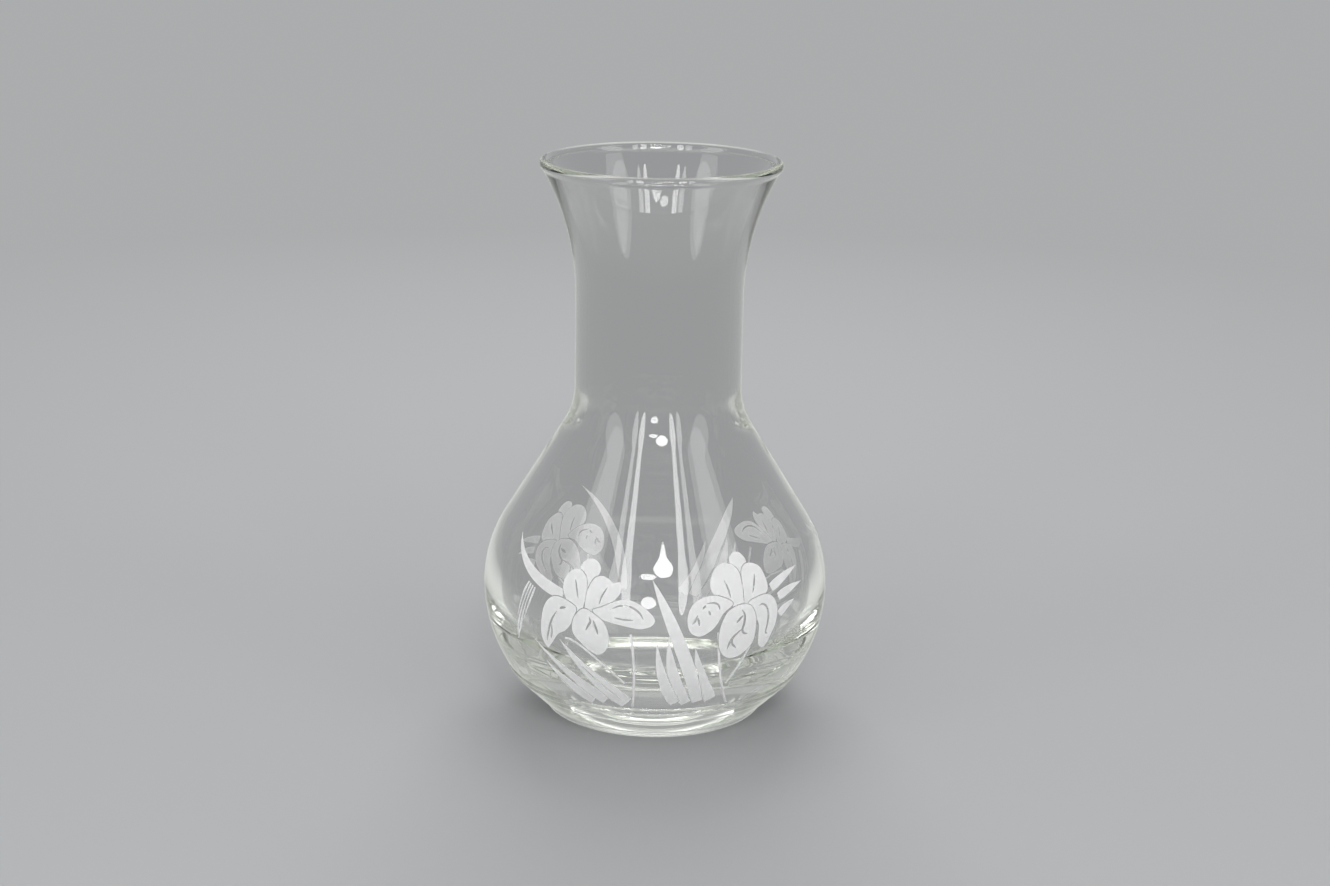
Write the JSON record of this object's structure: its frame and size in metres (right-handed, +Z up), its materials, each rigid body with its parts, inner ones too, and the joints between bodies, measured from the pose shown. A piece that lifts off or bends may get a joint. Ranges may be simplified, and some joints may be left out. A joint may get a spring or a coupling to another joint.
{
  "type": "glass vase",
  "caption": "Clear blown glass flower vase with a round belly, straight neck and flared mouth, and frosted iris sprays on the front and back of the belly.",
  "frame": {"origin": "centre of the plane that the vase stands on", "axes": "+Z up along the vase's axis; the front spray faces -Y"},
  "size_m": [0.1178, 0.1181, 0.19],
  "materials": {
    "clear_glass": "smooth clear glass with a faint green tint in its thick foot and rim",
    "frost": "matt white frost, slightly see-through"
  },
  "bodies": {
    "root": {"glass_vessel": "clear_glass", "front_left_iris_outer_fall": "frost", "front_left_iris_middle_fall": "frost", "front_left_iris_inner_fall": "frost", "front_left_iris_outer_standard": "frost", "front_left_iris_middle_standard": "frost", "front_left_iris_inner_standard": "frost", "front_right_iris_outer_fall": "frost", "front_right_iris_middle_fall": "frost", "front_right_iris_inner_fall": "frost", "front_right_iris_outer_standard": "frost", "front_right_iris_middle_standard": "frost", "front_right_iris_inner_standard": "frost", "front_left_blade_1": "frost", "front_left_blade_2": "frost", "front_left_blade_3": "frost", "front_long_blade": "frost", "front_middle_blade_1": "frost", "front_middle_blade_2": "frost", "front_middle_blade_3": "frost", "front_right_blade_1": "frost", "front_right_blade_2": "frost", "front_right_blade_3": "frost", "front_far_left_blade": "frost", "front_left_stem": "frost", "front_right_stem": "frost", "front_left_grass": "frost", "front_right_grass": "frost", "front_far_left_grass": "frost", "back_left_iris_outer_fall": "frost", "back_left_iris_middle_fall": "frost", "back_left_iris_inner_fall": "frost", "back_left_iris_outer_standard": "frost", "back_left_iris_middle_standard": "frost", "back_left_iris_inner_standard": "frost", "back_right_iris_outer_fall": "frost", "back_right_iris_middle_fall": "frost", "back_right_iris_inner_fall": "frost", "back_right_iris_outer_standard": "frost", "back_right_iris_middle_standard": "frost", "back_right_iris_inner_standard": "frost", "back_left_blade_1": "frost", "back_left_blade_2": "frost", "back_left_blade_3": "frost", "back_long_blade": "frost", "back_middle_blade_1": "frost", "back_middle_blade_2": "frost", "back_middle_blade_3": "frost", "back_right_blade_1": "frost", "back_right_blade_2": "frost", "back_right_blade_3": "frost", "back_far_left_blade": "frost", "back_lone_blade": "frost", "back_left_stem": "frost", "back_right_stem": "frost", "back_left_grass": "frost", "back_right_grass": "frost", "back_far_left_grass": "frost"}
  },
  "joints": []
}
